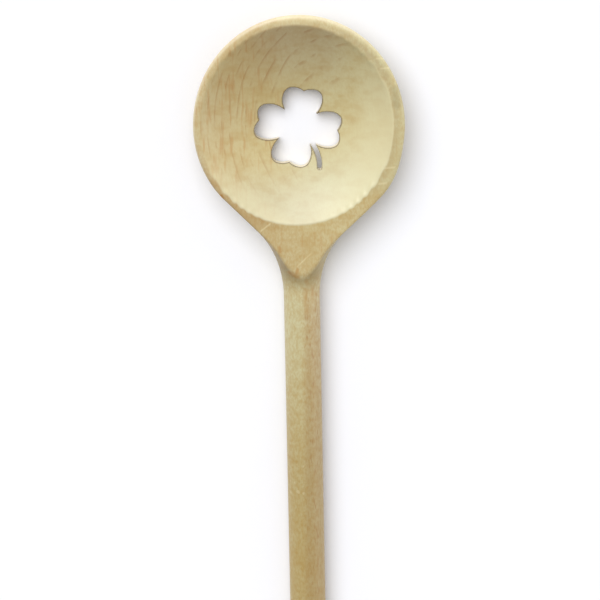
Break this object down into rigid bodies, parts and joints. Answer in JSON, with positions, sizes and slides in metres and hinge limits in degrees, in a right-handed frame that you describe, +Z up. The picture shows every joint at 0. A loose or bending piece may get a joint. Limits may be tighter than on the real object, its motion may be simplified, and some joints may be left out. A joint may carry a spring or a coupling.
{
  "type": "wooden cooking spoon",
  "caption": "Round-headed wooden cooking spoon: a shallow hollowed bowl with a clover-shaped hole through its floor, a planed rim and a long round handle.",
  "frame": {"origin": "on the table, under the middle of the lying spoon's box", "axes": "+Y along the handle towards the bowl, +Z up off the table, +X to the right of a person who looks along the handle towards the bowl"},
  "size_m": [0.0636, 0.3, 0.0146],
  "materials": {
    "wood": "sanded bare pale hardwood, flat-sawn grain along the handle"
  },
  "bodies": {
    "root": {"spoon": "wood"}
  },
  "joints": []
}
